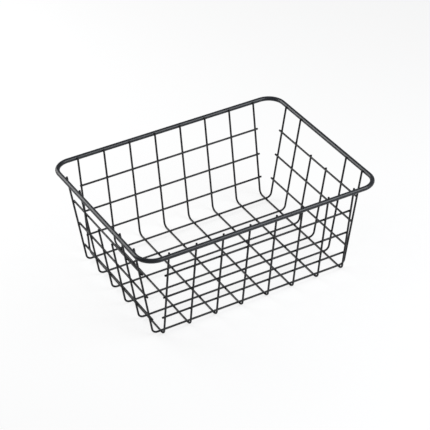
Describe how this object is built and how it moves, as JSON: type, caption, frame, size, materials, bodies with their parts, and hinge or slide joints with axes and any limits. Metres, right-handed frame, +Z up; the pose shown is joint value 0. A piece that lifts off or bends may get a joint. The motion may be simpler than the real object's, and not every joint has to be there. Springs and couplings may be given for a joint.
{
  "type": "wire locker basket",
  "caption": "Open welded wire basket with sloping mesh walls, a heavy round-cornered rim rod and a hand-hold gap in each short wall.",
  "frame": {"origin": "on the ground, under the middle of the rim", "axes": "+X along the basket, +Y from the front long wall to the back one, +Z up"},
  "size_m": [0.453, 0.3466, 0.1875],
  "materials": {
    "dark_coat": "semi-gloss dark grey powder coat on steel wire"
  },
  "bodies": {
    "root": {"rim": "dark_coat", "cross_wire_1": "dark_coat", "cross_wire_2": "dark_coat", "cross_wire_3": "dark_coat", "cross_wire_4": "dark_coat", "cross_wire_5": "dark_coat", "cross_wire_6": "dark_coat", "cross_wire_7": "dark_coat", "cross_wire_8": "dark_coat", "length_wire_1": "dark_coat", "length_wire_2": "dark_coat", "length_wire_3": "dark_coat", "length_wire_4": "dark_coat", "handhold_wire_1": "dark_coat", "handhold_wire_2": "dark_coat", "front_rail_1": "dark_coat", "front_rail_2": "dark_coat", "front_rail_3": "dark_coat", "back_rail_1": "dark_coat", "back_rail_2": "dark_coat", "back_rail_3": "dark_coat", "left_rail_1": "dark_coat", "left_rail_2": "dark_coat", "left_rail_3": "dark_coat", "right_rail_1": "dark_coat", "right_rail_2": "dark_coat", "right_rail_3": "dark_coat"}
  },
  "joints": []
}
